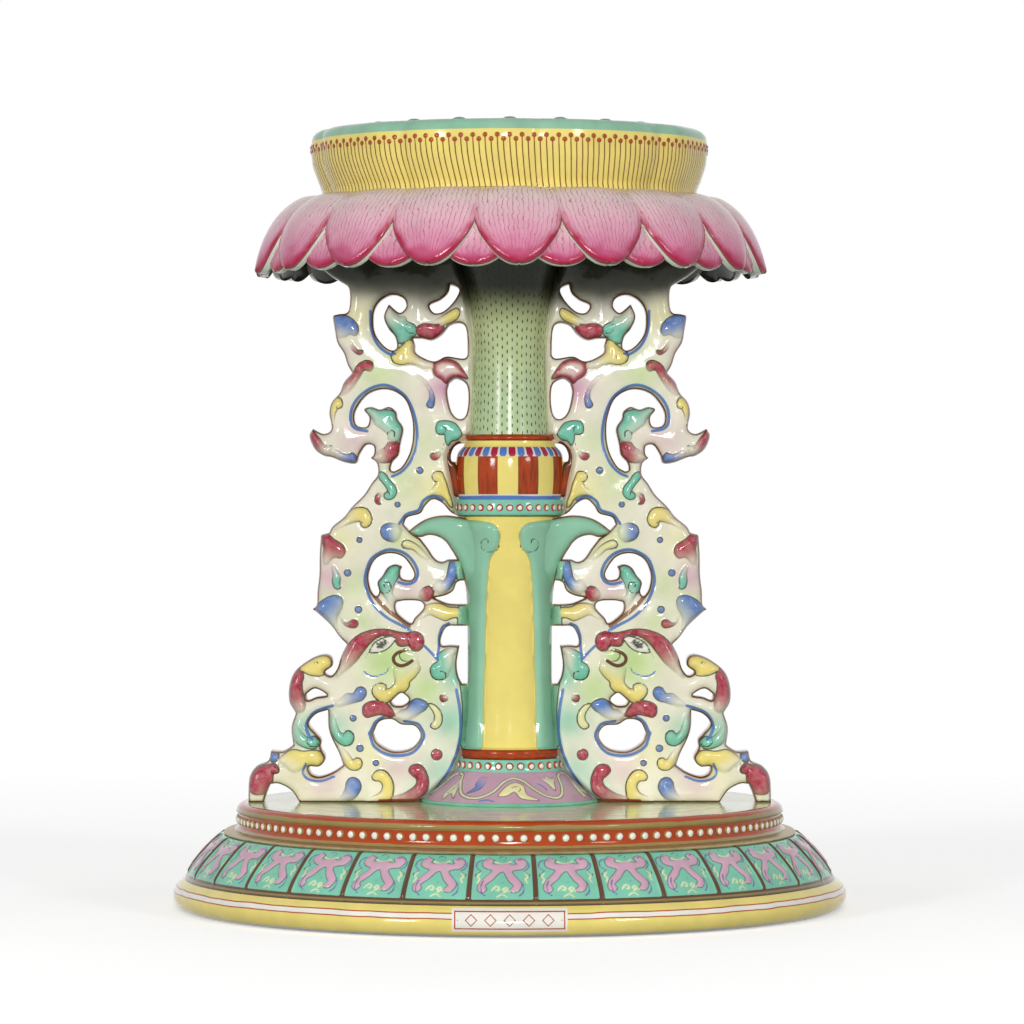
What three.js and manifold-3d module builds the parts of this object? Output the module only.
// Famille-rose porcelain altar emblem stand: a lotus pod on a skirt of petals, carried by a stem,
// a striped drum and a panelled column, with an openwork dragon on each side, on a stepped round
// base. The sections are thrown or moulded apart and luted together with slip, so nothing moves.
//
// Millimetres, +Z up. The origin is the centre of the foot on the ground, and the front is -Y.

import * as THREE from "three";
import { mergeVertices } from "three/addons/utils/BufferGeometryUtils.js";
import Module from "manifold-3d";

const wasm = await Module();
wasm.setup();

// Joints between the sections
const slipGap = 0.3;
const ventRadius = 6;
const sectionWall = 4;

// Base: foot rim, lappet band, gilt fillet, bead band and platform
const footRadius = 108.6;
const footHeight = 9.3;
const footRoll = 3.6;
const footWall = 8.4;
const lappetHeight = 14.3;
const lappetBulge = 1.1;
const lappetWall = 6;
const lappetCount = 32;
const lappetRib = 0.7;
const filletHeight = 1.7;
const filletLip = 1.2;
const beadBandHeight = 5.7;
const beadBandRadius = 87.6;
const beadBandWall = 5.6;
const baseBeads = 128;
const baseBeadRise = 1;
const platformEdge = 2.6;
const platformBevel = 1.6;
const platformPlate = 4.2;

// Plinth and the ring below the column
const plinthFootRadius = 28.2;
const plinthFootHeight = 1.1;
const plinthFootWall = 12;
const plinthHeight = 9.2;
const plinthBaseRadius = 26.8;
const plinthNeckRadius = 17.2;
const plinthBeadHeight = 3.9;
const plinthBeads = 30;
const slimBeadRise = 0.7;
const baseRingHeight = 3.2;

// Column with its pilasters and bracket arms
const columnHeight = 75;
const columnWaist = 11.9;
const columnFootSpread = 1.5;
const columnHeadSpread = 3.9;
const pilasterRelief = 1.8;
const panelFootWidth = 18.2;
const panelHeadWidth = 11.2;
const voluteGap = 6.6;
const bracketReach = 33;
const bracketThickness = 12;

// Drum, its bead ring, collar and ears
const drumBeadHeight = 5.1;
const drumBeads = 34;
const drumHeight = 18.9;
const drumRadius = 17.2;
const drumNeckRadius = 14.7;
const drumNeckHeight = 1.9;
const collarHeight = 2.1;
const lugWidth = 3.4;
const lugThickness = 8;

// Stem, calyx and petals
const stemHeight = 56.4;
const stemWaist = 11.7;
const stemFootSpread = 0.7;
const stemHeadSpread = 5.1;
const calyxHeight = 17.5;
const calyxRadius = 59.3;
const calyxRim = 3.5;
const skirtRadius = 82.4;
const skirtDrop = 22.6;
const petalCount = 18;
const petalWall = 2.4;
const petalCrown = 1.2;
const petalNotch = 0.3;
const lowerPetalWall = 1.8;
const petalGap = 1.6;

// Pod and seed plate
const podHeight = 20.2;
const podRadius = 64.2;
const podFootInset = 3.6;
const podWall = 4;
const podLobes = 9;
const podCrease = 0.7;
const podSpigotHeight = 2.4;
const rimHeight = 3.5;
const rimInset = 2.2;
const seedPlateThickness = 2.8;
const seedPlateDrop = 0.8;
const seedRadius = 3.2;
const seedRise = 2.2;
const seedRows = [
  { seeds: 20, circle: 51 },
  { seeds: 12, circle: 38 },
];

// Dragon slabs. Their outlines are drawn on a panel of drawnReach by drawnRise.
const dragonThickness = 15;
const dragonReach = 84.3;
const dragonChamfer = 0.8;
const dragonChamferDepth = 2;
const drawnReach = 84.3;
const drawnFoot = 33.6;
const drawnRise = 175;

// Faces round the rings
const wideSides = 40;
const slimSides = 24;
const drumSides = 32;
const curveSag = 0.75;

const TAU = Math.PI * 2;
const { lerp } = THREE.MathUtils;

const beadBandInner = beadBandRadius - beadBandWall;
const lowerInset = petalWall + petalGap;
const lappetTopRadius = beadBandRadius + 2 * filletLip;
const footTopRadius = footRadius - footRoll;
const plinthRingRadius = plinthNeckRadius;
const columnFootRadius = columnWaist + columnFootSpread;
const columnHeadRadius = columnWaist + columnHeadSpread;
const stemHeadRadius = stemWaist + stemHeadSpread;

// Heights, member on member
const lappetBase = footHeight;
const filletBase = lappetBase + lappetHeight;
const beadBandBase = filletBase + filletHeight;
const platformBase = beadBandBase + beadBandHeight;
const platformTop = platformBase + platformEdge;
const plinthBase = platformTop + plinthFootHeight;
const plinthBeadBase = plinthBase + plinthHeight;
const baseRingBase = plinthBeadBase + plinthBeadHeight;
const columnBase = baseRingBase + baseRingHeight;
const columnTop = columnBase + columnHeight;
const drumBase = columnTop + drumBeadHeight;
const collarBase = drumBase + drumHeight;
const stemBase = collarBase + collarHeight;
const calyxBase = stemBase + stemHeight;
const calyxTop = calyxBase + calyxHeight;
const skirtTop = calyxTop + podSpigotHeight;
const podWallTop = calyxTop + podHeight;

// The glazes and enamels
const lemonGlaze = glaze("#ecdf84");
const mintGlaze = glaze("#8accb4");
const leafGlaze = glaze("#8fbf9f");
const stemGlaze = glaze("#b4c690");
const pinkEnamel = glaze("#dc8fa6");
const palePink = glaze("#e0a3b6");
const ironRed = glaze("#b4481c");
const lavender = glaze("#c9a2c0");
const tealGlaze = glaze("#5fa8a0");
const ivoryGlaze = glaze("#e9e6cf");
const gilding = new THREE.MeshStandardMaterial({ color: "#b08f4a", roughness: 0.3, metalness: 0.6 });

function glaze(color) {
  return new THREE.MeshStandardMaterial({ color, roughness: 0.15, metalness: 0 });
}

// A geometry as a solid that can be joined and cut.
function solid(geometry) {
  const bare = new THREE.BufferGeometry();
  bare.setAttribute("position", geometry.getAttribute("position").clone());
  bare.setIndex(geometry.index);
  const merged = mergeVertices(bare, 1e-4);
  const corners = merged.index.array;
  const kept = [];
  for (let i = 0; i < corners.length; i += 3) {
    const [a, b, c] = corners.slice(i, i + 3);
    if (a !== b && b !== c && c !== a) kept.push(a, b, c);
  }
  return new wasm.Manifold(
    new wasm.Mesh({
      numProp: 3,
      vertProperties: merged.getAttribute("position").array,
      triVerts: new Uint32Array(kept),
    }),
  );
}

// A named piece from a solid or a geometry, set at a height above its group.
function piece(name, shape, material, height = 0) {
  const form = shape.isBufferGeometry ? solid(shape) : shape;
  const { numProp, vertProperties, triVerts } = form.getMesh();
  const geometry = new THREE.BufferGeometry();
  const corners = new THREE.InterleavedBuffer(vertProperties, numProp);
  geometry.setAttribute("position", new THREE.InterleavedBufferAttribute(corners, 3, 0));
  geometry.setIndex(new THREE.BufferAttribute(triVerts, 1));
  const flat = geometry.toNonIndexed();
  flat.computeVertexNormals();
  const mesh = new THREE.Mesh(flat, material);
  mesh.name = name;
  mesh.position.z = height;
  return mesh;
}

// A left piece and its twin on the right. Front and back are alike, so the twin is turned half round.
function pair(name, shape, material, height = 0) {
  const left = piece(`${name}_left`, shape, material, height);
  const right = piece(`${name}_right`, shape, material, height);
  right.rotation.z = Math.PI;
  return [left, right];
}

// A solid of revolution from [radius, height] points, up the outside and back down the bore.
function turned(profile, sides = wideSides) {
  const points = [...profile, profile[0]].map(([radius, height]) => new THREE.Vector2(radius, height));
  return new THREE.LatheGeometry(points, sides).rotateX(Math.PI / 2);
}

// A ring whose section changes on its way round: profileAt gives as many [radius, height] points
// at every angle, up the outside and down the bore, and angle 0 is the front.
function changingRing(sides, profileAt) {
  const positions = [];
  const faces = [];
  const profiles = Array.from({ length: sides }, (_, i) => profileAt((i / sides) * TAU));
  const count = profiles[0].length;
  profiles.forEach((profile, i) => {
    const angle = (i / sides) * TAU;
    const next = (i + 1) % sides;
    profile.forEach(([radius, height], j) => {
      positions.push(radius * Math.sin(angle), -radius * Math.cos(angle), height);
      const up = (j + 1) % count;
      const [a, b, c, d] = [i * count + j, next * count + j, next * count + up, i * count + up];
      faces.push(a, b, d, b, c, d);
    });
  });
  return indexed(positions, faces);
}

// A ring with one raised pearl on each side of its outer wall.
function beadedRing(bore, radius, height, beads, rise) {
  const positions = [];
  const faces = [];
  const round = (r, angle, z) => positions.push(r * Math.sin(angle), -r * Math.cos(angle), z);
  const stride = 5;
  const pearlRadius = radius * Math.cos(Math.PI / beads) + rise;
  for (let i = 0; i < beads; i++) {
    const angle = (i / beads) * TAU;
    round(radius, angle, 0);
    round(radius, angle, height);
    round(bore, angle, height);
    round(bore, angle, 0);
    round(pearlRadius, angle + Math.PI / beads, height / 2);
    const near = [0, 1, 2, 3].map((k) => i * stride + k);
    const far = [0, 1, 2, 3].map((k) => ((i + 1) % beads) * stride + k);
    const pearl = i * stride + 4;
    faces.push(near[0], far[0], pearl, far[0], far[1], pearl);
    faces.push(far[1], near[1], pearl, near[1], near[0], pearl);
    for (let k = 1; k < 4; k++) {
      const up = (k + 1) % 4;
      faces.push(near[k], far[k], near[up], far[k], far[up], near[up]);
    }
  }
  return indexed(positions, faces);
}

function indexed(positions, faces) {
  const geometry = new THREE.BufferGeometry();
  geometry.setAttribute("position", new THREE.Float32BufferAttribute(positions, 3));
  geometry.setIndex(faces);
  return geometry;
}

// An upright slab: the shape is drawn in X and Z, and its thickness is centred on Y = 0. The rim of
// each face is chamfered, or the slab is grown all round by a clearance.
function slab(shape, thickness, { chamfer = 0, depth = 0, grow = 0 } = {}) {
  const geometry = new THREE.ExtrudeGeometry(shape, {
    depth: thickness - 2 * depth,
    bevelEnabled: chamfer + grow > 0,
    bevelSegments: 1,
    bevelThickness: depth + grow,
    bevelSize: chamfer + grow,
    bevelOffset: -chamfer,
  });
  return geometry.rotateX(Math.PI / 2).translate(0, thickness / 2 - depth, 0);
}

// Smooth curves through the points of each run, with a corner between two runs. A span gets a
// point of its own between its ends only where the curve leaves the straight line.
function drawnOutline(runs) {
  const points = [runs[0][0]];
  for (const run of runs) {
    const curve = new THREE.SplineCurve(run);
    for (let i = 1; i < run.length; i++) {
      const middle = curve.getPoint((i - 0.5) / (run.length - 1));
      const straight = run[i - 1].clone().lerp(run[i], 0.5);
      if (middle.distanceTo(straight) > curveSag) points.push(middle);
      points.push(run[i]);
    }
  }
  const closes = points[0].distanceTo(points[points.length - 1]) < slipGap;
  return closes ? points.slice(0, -1) : points;
}

// An arc of [radius, height] points, bulging outwards from the bottom of a moulding to its top.
function roll(radius, depth, height, steps) {
  return Array.from({ length: steps + 1 }, (_, i) => {
    const turn = Math.PI * (i / steps - 0.5);
    return [radius - depth + depth * Math.cos(turn), (height * (1 + Math.sin(turn))) / 2];
  });
}

// Outer profiles of the members that the dragons fit against, each from its own foot up
const plinthFootProfile = [
  [plinthFootRadius, 0],
  [plinthFootRadius, plinthFootHeight],
];
const plinthProfile = [0, 0.18, 0.4, 0.7, 1].map((t) => [
  lerp(plinthNeckRadius, plinthBaseRadius, (1 - t) ** 1.9),
  plinthHeight * t,
]);
const plinthBeadProfile = [
  [plinthRingRadius + slimBeadRise, 0],
  [plinthRingRadius + slimBeadRise, plinthBeadHeight],
];
const baseRingProfile = roll(columnFootRadius + pilasterRelief + 0.6, 1.6, baseRingHeight, 4);
const columnProfile = [0, 0.12, 0.32, 0.65, 0.82, 0.92, 1].map((t) => [
  columnWaist + columnFootSpread * (1 - t) ** 6 + columnHeadSpread * t ** 5,
  columnHeight * t,
]);
const drumBeadRadius = columnHeadRadius + slimBeadRise;
const drumBeadProfile = [
  [drumBeadRadius + slimBeadRise, 0],
  [drumBeadRadius + slimBeadRise, drumBeadHeight],
];
const shoulderHeight = drumHeight - drumNeckHeight;
const drumProfile = [
  [drumRadius, 0],
  [drumRadius, shoulderHeight * 0.5],
  [drumRadius - 0.4, shoulderHeight * 0.84],
  [lerp(drumNeckRadius, drumRadius, 0.6), shoulderHeight * 0.93],
  [drumNeckRadius, shoulderHeight],
  [drumNeckRadius, drumHeight],
];
const collarProfile = roll(drumNeckRadius - 0.2, 1, collarHeight, 3);
const stemProfile = [0, 0.2, 0.45, 0.65, 0.82, 0.93, 1].map((t) => [
  stemWaist + stemFootSpread * (1 - t) ** 3 + stemHeadSpread * t ** 4,
  stemHeight * t,
]);
const calyxUnderside = [
  [stemHeadRadius, 0],
  [lerp(stemHeadRadius, calyxRadius, 0.5), (calyxHeight - calyxRim) * 0.72],
  [calyxRadius, calyxHeight - calyxRim],
];

// The outer curve of a petal from its root to its tip, set in by a wall where asked.
function petalCurve(inset) {
  const root = new THREE.Vector2(calyxRadius + 1.4, skirtTop);
  const tip = new THREE.Vector2(skirtRadius, skirtTop - podSpigotHeight - skirtDrop);
  const shoulder = new THREE.Vector2(lerp(root.x, tip.x, 0.75), root.y - 1.5);
  const curve = new THREE.QuadraticBezierCurve(root, shoulder, tip);
  return (t) => {
    const point = curve.getPoint(t);
    const along = curve.getTangent(t);
    return [point.x + along.y * inset, point.y - along.x * inset];
  };
}

// A row of petals as one scalloped shell round the calyx: neighbours touch from the root to the
// notch, and from there each one rounds off to its tip.
function petalRow({ inset, wall, rise, turn, samples }) {
  const steps = 3;
  const outer = petalCurve(inset);
  const inner = petalCurve(inset + wall);
  const bore = calyxRadius + slipGap;
  return changingRing(petalCount * samples, (angle) => {
    const across = 2 * Math.abs(((angle / TAU) * petalCount + turn + 0.5) % 1 - 0.5);
    const end = petalNotch + (1 - petalNotch) * Math.sqrt(1 - across ** 2);
    const crown = rise * (1 - across ** 2);
    const walk = Array.from({ length: steps + 1 }, (_, i) => (end * i) / steps);
    const face = walk.map((t) => outer(t)).map(([r, z], i) => [r + (crown * i) / steps, z]);
    const lining = walk.map((t) => inner(t));
    const back = lining.map(([r, z], i) => [Math.max(r + (crown * i) / steps, bore), z]);
    face[0][0] = bore;
    back[0][0] = bore;
    return [...face.reverse(), ...back];
  });
}

// Pod wall: a spigot inside the ring of petal roots, and lobes with a crease between them. One
// crease is a little right of the front.
function lobedWall() {
  const samples = 4;
  const rows = [0, 0.25, 0.55, 1];
  const shelf = podSpigotHeight + slipGap;
  const bore = podRadius - podWall - podFootInset;
  return changingRing(podLobes * samples, (angle) => {
    const across = 2 * Math.abs((((angle / TAU) * podLobes + podLobes - 0.2) % 1) - 0.5);
    const crease = podCrease * Math.max(0, 1 - 3 * across);
    const outer = rows.map((t) => [
      podRadius - podFootInset * (1 - t) ** 2.2 - crease * (1 - t * t),
      lerp(shelf, podHeight, t),
    ]);
    return [
      [calyxRadius, 0],
      [calyxRadius, shelf],
      ...outer,
      [podRadius - podWall, podHeight],
      [bore, shelf],
      [bore, 0],
    ];
  });
}

// The green strip round one side of the column, with its volutes and its bracket arm. The outline
// is what the front of the column shows, and it is the same at the back.
function pilaster() {
  const up = (x, t) => new THREE.Vector2(-x, columnHeight * t);
  const footHalf = panelFootWidth / 2;
  const headHalf = panelHeadWidth / 2;
  const volute = voluteGap / 2;
  const far = bracketReach;
  const strip = new THREE.Shape([
    ...drawnOutline([
      [
        up(footHalf, 0),
        up(lerp(footHalf, headHalf, 0.17), 0.33),
        up(lerp(footHalf, headHalf, 0.54), 0.72),
        up(headHalf, 0.824),
      ],
      [
        up(headHalf, 0.824),
        up(volute + 0.4, 0.872),
        up(volute, 0.915),
        up(volute + 0.7, 0.947),
        up(volute + 2.8, 0.967),
        up(columnHeadRadius - 0.5, 0.98),
      ],
    ]),
    up(far, 1),
    up(far, 0),
  ]);
  const inner = grown(columnProfile);
  const outer = columnProfile.map(([r, z]) => [r + pilasterRelief, z]);
  const shell = solid(turned([...outer, ...inner.reverse()], slimSides));
  const front = solid(slab(strip, 4 * columnHeadRadius));
  const column = solid(turned([[0, 0], ...grown(columnProfile), [0, columnHeight]], slimSides));
  const arm = solid(slab(bracketShape(), bracketThickness, { chamfer: 0.6, depth: 1.2 }));
  return shell.intersect(front).add(arm.subtract(column));
}

// Outline of a bracket arm, from the column's flank out to the dragon
function bracketShape() {
  const flank = columnHeadRadius + pilasterRelief;
  const arm = (t, z) => new THREE.Vector2(-lerp(flank, bracketReach, t), columnHeight * z);
  const back = [
    arm(-0.3, 0.985),
    arm(0, 0.99),
    arm(0.32, 0.996),
    arm(0.57, 0.985),
    arm(0.8, 0.962),
    arm(1, 0.94),
  ];
  const belly = [
    arm(1, 0.94),
    arm(0.89, 0.922),
    arm(0.7, 0.912),
    arm(0.45, 0.911),
    arm(0.2, 0.888),
    arm(0.1, 0.862),
  ];
  const outline = drawnOutline([back, belly, [arm(0.1, 0.862), arm(-0.3, 0.83)]]);
  return new THREE.Shape(outline);
}

// Outline of the ear between the drum and a dragon, measured from the foot of the drum
function lugShape() {
  const ear = (out, t) => new THREE.Vector2(-drumRadius - lugWidth * out, drumHeight * t);
  const outline = drawnOutline([
    [ear(-0.8, 0.02), ear(0.42, 0.02)],
    [ear(0.42, 0.02), ear(0.74, 0.36), ear(1, 0.62), ear(0.95, 0.85)],
    [ear(0.95, 0.85), ear(0.65, 0.83), ear(0.6, 0.7), ear(0.3, 0.65)],
    [ear(0.3, 0.65), ear(-0.8, 0.65)],
  ]);
  return new THREE.Shape(outline);
}

// A profile with the slip clearance added to its radius
function grown(profile) {
  return profile.map(([radius, height]) => [radius + slipGap, height]);
}

// What a dragon is cut back from: everything on the axis, from the platform to the flower
function coreClearance() {
  const stack = [
    [plinthFootProfile, platformTop],
    [plinthProfile, plinthBase],
    [plinthBeadProfile, plinthBeadBase],
    [baseRingProfile, baseRingBase],
    [columnProfile.map(([r, z]) => [r + pilasterRelief, z]), columnBase],
    [drumBeadProfile, columnTop],
    [drumProfile, drumBase],
    [collarProfile, collarBase],
    [stemProfile, stemBase],
  ];
  const flank = stack.flatMap(([profile, base]) => grown(profile).map(([r, z]) => [r, z + base]));
  const flower = calyxUnderside.map(([r, z]) => [r, z + calyxBase - slipGap]);
  const petalBack = petalCurve(lowerInset + lowerPetalWall + slipGap);
  const skirt = [0.35, 0.6, 0.8, 1].map((t) => petalBack(t));
  const outside = skirtRadius + dragonThickness;
  const above = [[outside, calyxBase], [outside, podWallTop], [0, podWallTop]];
  return [
    solid(turned([[0, platformTop], ...flank, [0, calyxBase]], slimSides)),
    solid(turned([[0, calyxBase - slipGap], ...flower, ...skirt, ...above])),
  ];
}

// The left dragon: an openwork slab whose outline and openings are drawn as the front shows them.
// In the drawn panel x runs out from the axis, and z up from the ground.
function dragon() {
  const spread = dragonReach / drawnReach;
  const lift = (calyxBase - platformTop) / drawnRise;
  const foot = platformTop + slipGap;
  const at = ([x, z]) => new THREE.Vector2(-x * spread, foot + (z - drawnFoot) * lift);
  const drawn = (runs) => drawnOutline(runs.map((run) => run.map(at)));
  const shape = new THREE.Shape(drawn(dragonOutline));
  shape.holes = dragonHoles.map((runs) => new THREE.Path(drawn(runs)));
  let body = solid(slab(shape, dragonThickness, { chamfer: dragonChamfer, depth: dragonChamferDepth }));
  const through = 2 * dragonThickness;
  for (const runs of dragonNotches) {
    body = body.subtract(solid(slab(new THREE.Shape(drawn(runs)), through)));
  }
  const bracket = slab(bracketShape(), through, { grow: slipGap }).translate(0, 0, columnBase);
  const lug = slab(lugShape(), through, { grow: slipGap }).translate(0, 0, drumBase);
  for (const neighbour of [solid(bracket), solid(lug), ...coreClearance()]) {
    body = body.subtract(neighbour);
  }
  return body;
}

// Outline of a dragon, from the flower down the outer edge to the toe, and along the platform
const slabRoot = 8;
const dragonOutline = [
  [[66, 226], [64.5, 214], [62, 207.5], [52, 199.6], [51.5, 195.4], [52.3, 191.6], [57.2, 190.5]],
  [[57.2, 190.5], [55.6, 181.8], [50.8, 172]],
  [[50.8, 172], [57.4, 162.6], [58.2, 159], [57.5, 154], [60, 152.4], [63.5, 154]],
  [
    [63.5, 154], [64.6, 151.6], [62.9, 147.5], [59.9, 145.3], [49.5, 142.9], [46.4, 148.7],
    [43.9, 148.4], [43.8, 145.9], [44.8, 144.6],
  ],
  [[44.8, 144.6], [42.8, 142.7], [42.6, 139.2], [47, 132.7], [58.2, 120.5]],
  [[58.2, 120.5], [60.9, 119.8]],
  [[60.9, 119.8], [61.3, 113.2], [61.4, 106.9], [62, 101.6], [62.2, 97.4], [63.6, 95.8]],
  [[63.6, 95.8], [52.5, 84.5]],
  [
    [52.5, 84.5], [55.6, 76.7], [57.6, 74.3], [59.6, 75.5], [57.2, 77.6], [57.6, 80.4],
    [60.1, 81.2], [64.1, 79.8], [69, 76.1], [71, 71.5], [71.1, 66.2], [69, 62.3],
  ],
  [[69, 62.3], [70.4, 57.5], [69.8, 52]],
  [[69.8, 52], [73.5, 49.9], [77, 50.1]],
  [[77, 50.1], [78, 46.8], [81.8, 45], [84, 41.2], [84.3, 33.6]],
  [[84.3, 33.6], [79.3, 33.6]],
  [[79.3, 33.6], [77.2, 39.4]],
  [[77.2, 39.4], [74.4, 39.5], [70.5, 37.4], [67.8, 33.6]],
  [[67.8, 33.6], [slabRoot, 33.6]],
  [[slabRoot, 33.6], [slabRoot, 226]],
];

// The openings that pierce it: crest, two by the stem, the great volute, and those lower down
const dragonHoles = [
  [
    [
      [39, 194.3], [40.6, 190.2], [37, 183.6], [36.4, 180.4], [38.1, 179.3], [41, 181.2],
      [43.6, 185.4], [43.8, 191.6], [41.6, 195.4], [37.8, 197.2], [34.3, 196.1], [33.4, 193.4],
      [35.3, 191.4], [39, 194.3],
    ],
  ],
  [
    [
      [19.1, 200.7], [16.3, 199], [17.8, 195.4], [21.3, 191.9], [24.4, 191.4], [25.8, 193.9],
      [19.9, 197.9], [19.1, 200.7],
    ],
  ],
  [
    [
      [31.3, 183.2], [25, 182.6], [21.8, 184.4], [19.3, 187.3], [16, 188.1], [14.1, 186.4],
      [13.6, 180.5], [14.4, 176.8], [20.4, 177.3], [24.7, 175.8], [30, 178.3], [31.3, 183.2],
    ],
  ],
  [
    [
      [19.5, 168.7], [17.2, 170.1], [13.9, 168.2], [13.3, 163], [14.2, 158.3], [16.4, 157.2],
      [18.8, 159.6], [20.1, 165.5], [19.5, 168.7],
    ],
  ],
  [
    [
      [37.3, 140.2], [34.7, 141.9], [32.2, 146.5], [31.2, 152.1], [31.7, 158.1], [34.2, 163.9],
      [39.6, 166.7], [45.6, 165.2], [49.7, 159.9], [49.6, 155.4], [46.2, 154.7], [45.3, 157.5],
      [47, 160.2], [44.6, 161.1], [41.9, 160.3], [38.9, 161.1], [36.6, 159.5], [34.3, 154],
      [35.8, 145.6], [37.9, 143.1], [38.4, 140.8], [37.3, 140.2],
    ],
  ],
  [
    [
      [34.6, 109.6], [37, 110.3], [39.4, 109.3], [42.7, 104.4], [42.1, 101.4], [43.3, 100],
      [45, 102.4], [45.5, 107], [43.4, 111.8], [39, 113.8], [34.2, 112.5], [30.9, 107.6],
      [31.8, 105.3], [34.8, 105.7], [35.3, 107.9], [34.6, 109.6],
    ],
  ],
  [
    [[36.5, 98.1], [28.9, 98.3], [27.8, 96.3], [32, 91.3], [35.9, 94.2], [36.5, 98.1]],
  ],
  [
    [[38.3, 66], [34.6, 68.7], [32.5, 66.7], [34.3, 64.8], [37.1, 64.7], [38.3, 66]],
  ],
  [
    [
      [44, 55.8], [42, 59.5], [38.1, 60.3], [34.9, 58.6], [30.6, 58.1], [28.8, 54.8], [31.8, 50.9],
      [37.7, 50], [42.6, 52.6], [44, 55.8],
    ],
  ],
  [
    [
      [58.6, 63.3], [62.5, 61.9], [64.8, 58.8], [60.8, 53.6], [60.9, 51], [59.4, 47.7],
      [61.4, 45.1], [64.7, 45], [64, 42.6], [61.3, 41.8], [53.7, 45.5],
    ],
    [[53.7, 45.5], [58.5, 58], [58.6, 63.3]],
  ],
  [
    [[65.7, 68.4], [62.7, 70.2], [59, 68.1], [65.2, 66.4], [65.7, 68.4]],
  ],
];

// The gaps beside the drum, the bracket arm and the column, which are open towards the axis
const dragonNotches = [
  [
    [[0, 143.4], [18.6, 143.4]],
    [[18.6, 143.4], [19.4, 145.2], [18.6, 147.6], [16.8, 149.3]],
    [[16.8, 149.3], [0, 149.3]],
  ],
  [
    [[0, 111.6], [19.9, 111.9]],
    [[19.9, 111.9], [22, 111.1], [24.2, 112.2], [28.8, 118.5]],
    [[28.8, 118.5], [34.2, 123.2]],
    [[34.2, 123.2], [33, 125.4], [28.9, 126.7], [24.8, 131.2], [21.8, 130], [16, 125.4]],
    [[16, 125.4], [0, 125.4]],
  ],
  [
    [[0, 97.3], [16.2, 97.4]],
    [[16.2, 97.4], [20.1, 97.7], [24.7, 99.5]],
    [[24.7, 99.5], [18.3, 101.7], [15.9, 105]],
    [[15.9, 105], [0, 105]],
  ],
  [
    [[0, 71.7], [15.4, 71.7]],
    [[15.4, 71.7], [17.1, 78.3], [16.2, 84]],
    [[16.2, 84], [21.9, 84.1], [22.1, 86.6], [20.2, 90.1], [16.4, 90.4]],
    [[16.4, 90.4], [0, 90.4]],
  ],
];

// Base
const footBore = footRadius - footWall;
const footRim = piece(
  "foot_rim",
  turned([...roll(footRadius, footRoll, footHeight, 4), [footBore, footHeight], [footBore, 0]]),
  lemonGlaze,
);

const lappetRows = [0, 0.5, 1];
const lappetBand = piece(
  "lappet_band",
  changingRing(lappetCount * 2, (angle) => {
    const rib = lappetRib * (0.5 - 0.5 * Math.cos(angle * lappetCount));
    const outer = lappetRows.map((t) => [
      lerp(footTopRadius, lappetTopRadius, t) + (lappetBulge + rib) * Math.sin(Math.PI * t),
      lappetHeight * t,
    ]);
    const bore = (t) => lerp(footTopRadius, lappetTopRadius, t) - lappetWall;
    return [...outer, [bore(1), lappetHeight], [bore(0), 0]];
  }),
  mintGlaze,
  lappetBase,
);

const giltFillet = piece(
  "gilt_fillet",
  turned([
    [beadBandRadius + filletLip, 0],
    [beadBandRadius + 2 * filletLip, filletHeight * 0.35],
    [beadBandRadius + filletLip, filletHeight],
    [beadBandInner, filletHeight],
    [beadBandInner, 0],
  ]),
  gilding,
  filletBase,
);

const beadBand = piece(
  "bead_band",
  beadedRing(beadBandInner, beadBandRadius, beadBandHeight, baseBeads, baseBeadRise),
  ironRed,
  beadBandBase,
);

const plateSeat = beadBandInner - slipGap;
const platform = piece(
  "platform",
  turned([
    [beadBandRadius, 0],
    [beadBandRadius - platformBevel * 0.25, platformEdge * 0.6],
    [beadBandRadius - platformBevel, platformEdge],
    [ventRadius, platformEdge],
    [ventRadius, platformEdge - platformPlate],
    [plateSeat, platformEdge - platformPlate],
    [plateSeat, 0],
  ]),
  ivoryGlaze,
  platformBase,
);

// Plinth and column, each with a vent bore through to the next section
function bored(profile, wall) {
  const bore = Math.min(...profile.map(([radius]) => radius)) - wall;
  return [...profile, [bore, profile[profile.length - 1][1]], [bore, profile[0][1]]];
}

const plinthFootRing = piece(
  "plinth_foot_ring",
  turned(bored(plinthFootProfile, plinthFootWall), slimSides),
  tealGlaze,
  platformTop,
);
const plinth = piece("plinth", turned(bored(plinthProfile, sectionWall), slimSides), lavender, plinthBase);
const plinthBeadRing = piece(
  "plinth_bead_ring",
  beadedRing(plinthRingRadius - sectionWall, plinthRingRadius, plinthBeadHeight, plinthBeads, slimBeadRise),
  tealGlaze,
  plinthBeadBase,
);
const columnBaseRing = piece(
  "column_base_ring",
  turned(bored(baseRingProfile, sectionWall), slimSides),
  ironRed,
  baseRingBase,
);
const column = piece("column", turned(bored(columnProfile, sectionWall), slimSides), lemonGlaze, columnBase);
const pilasters = pair("pilaster", pilaster(), leafGlaze, columnBase);

// Drum
const drumBeadRing = piece(
  "drum_bead_ring",
  beadedRing(drumBeadRadius - 2 * sectionWall, drumBeadRadius, drumBeadHeight, drumBeads, slimBeadRise),
  tealGlaze,
  columnTop,
);
const drum = piece("drum", turned(bored(drumProfile, sectionWall), drumSides), lemonGlaze, drumBase);
const drumCollar = piece(
  "drum_collar",
  turned(bored(collarProfile, sectionWall), slimSides),
  ironRed,
  collarBase,
);

function lug() {
  const ear = solid(slab(lugShape(), lugThickness, { chamfer: 0.4, depth: 0.8 }));
  return ear.subtract(solid(turned([[0, 0], ...grown(drumProfile), [0, drumHeight]], drumSides)));
}
const drumLugs = pair("drum_lug", lug(), ironRed, drumBase);

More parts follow.
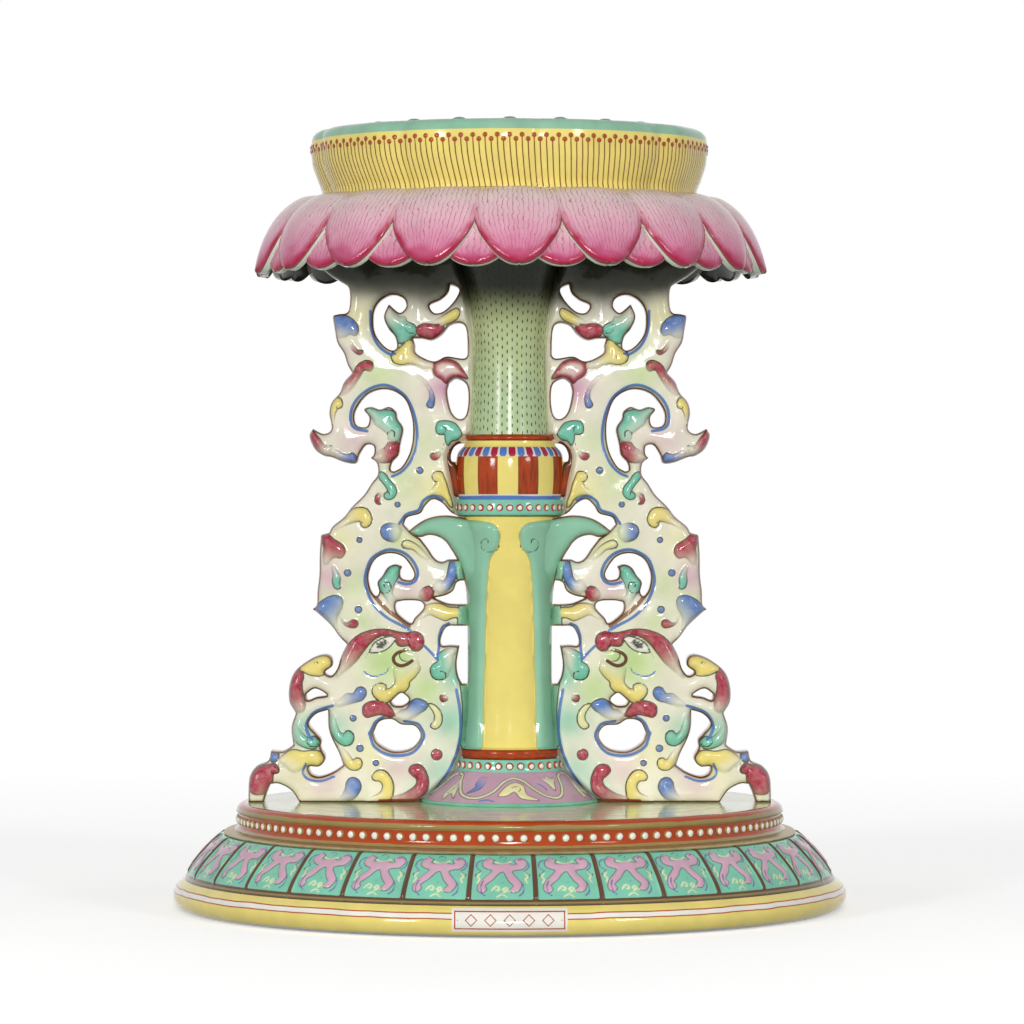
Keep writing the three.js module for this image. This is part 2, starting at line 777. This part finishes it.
// Stem and flower
const stem = piece("stem", turned(bored(stemProfile, sectionWall), slimSides), stemGlaze, stemBase);
const calyx = piece(
  "calyx",
  turned(
    [...calyxUnderside, [calyxRadius, calyxHeight], [ventRadius, calyxHeight], [ventRadius, 0]],
    petalCount * 2,
  ),
  tealGlaze,
  calyxBase,
);
const upperPetals = piece(
  "upper_petals",
  petalRow({ inset: 0, wall: petalWall, rise: petalCrown, turn: 0, samples: 5 }),
  pinkEnamel,
);
const lowerPetals = piece(
  "lower_petals",
  petalRow({ inset: lowerInset, wall: lowerPetalWall, rise: 0, turn: 0.5, samples: 4 }),
  palePink,
);

// Pod
const podWallRing = piece("pod_wall", lobedWall(), lemonGlaze, calyxTop);
const podRim = piece(
  "pod_rim",
  turned(
    [
      [podRadius, 0],
      [podRadius - rimInset * 0.15, rimHeight * 0.5],
      [podRadius - rimInset * 0.5, rimHeight * 0.85],
      [podRadius - rimInset, rimHeight],
      [podRadius - podWall, rimHeight],
      [podRadius - podWall, 0],
    ],
    podLobes * 4,
  ),
  leafGlaze,
  podWallTop,
);

function seededPlate() {
  const radius = podRadius - podWall - slipGap;
  const disc = [[0, 0], [radius, 0], [radius, seedPlateThickness], [0, seedPlateThickness]];
  let plate = solid(turned(disc, podLobes * 4));
  const sunk = seedRadius * 0.5;
  const seat = seedPlateThickness - sunk;
  const crown = seedRise + sunk;
  const dome = [[0, 0], [seedRadius, 0], [seedRadius * 0.8, crown * 0.7], [0, crown]];
  for (const { seeds, circle } of seedRows) {
    for (let i = 0; i < seeds; i++) {
      const angle = ((i + 0.5) / seeds) * TAU;
      const seed = turned(dome, 5).translate(circle * Math.sin(angle), -circle * Math.cos(angle), seat);
      plate = plate.add(solid(seed));
    }
  }
  return plate;
}
const seedPlateBase = podWallTop + rimHeight - seedPlateDrop - seedPlateThickness;
const seedPlate = piece("seed_plate", seededPlate(), leafGlaze, seedPlateBase);

// Dragons
const dragons = pair("dragon", dragon(), ivoryGlaze);

const stand = new THREE.Group();
stand.add(footRim, lappetBand, giltFillet, beadBand, platform);
stand.add(plinthFootRing, plinth, plinthBeadRing, columnBaseRing, column, ...pilasters);
stand.add(drumBeadRing, drum, drumCollar, ...drumLugs);
stand.add(stem, calyx, upperPetals, lowerPetals, podWallRing, podRim, seedPlate);
stand.add(...dragons);

export default stand;
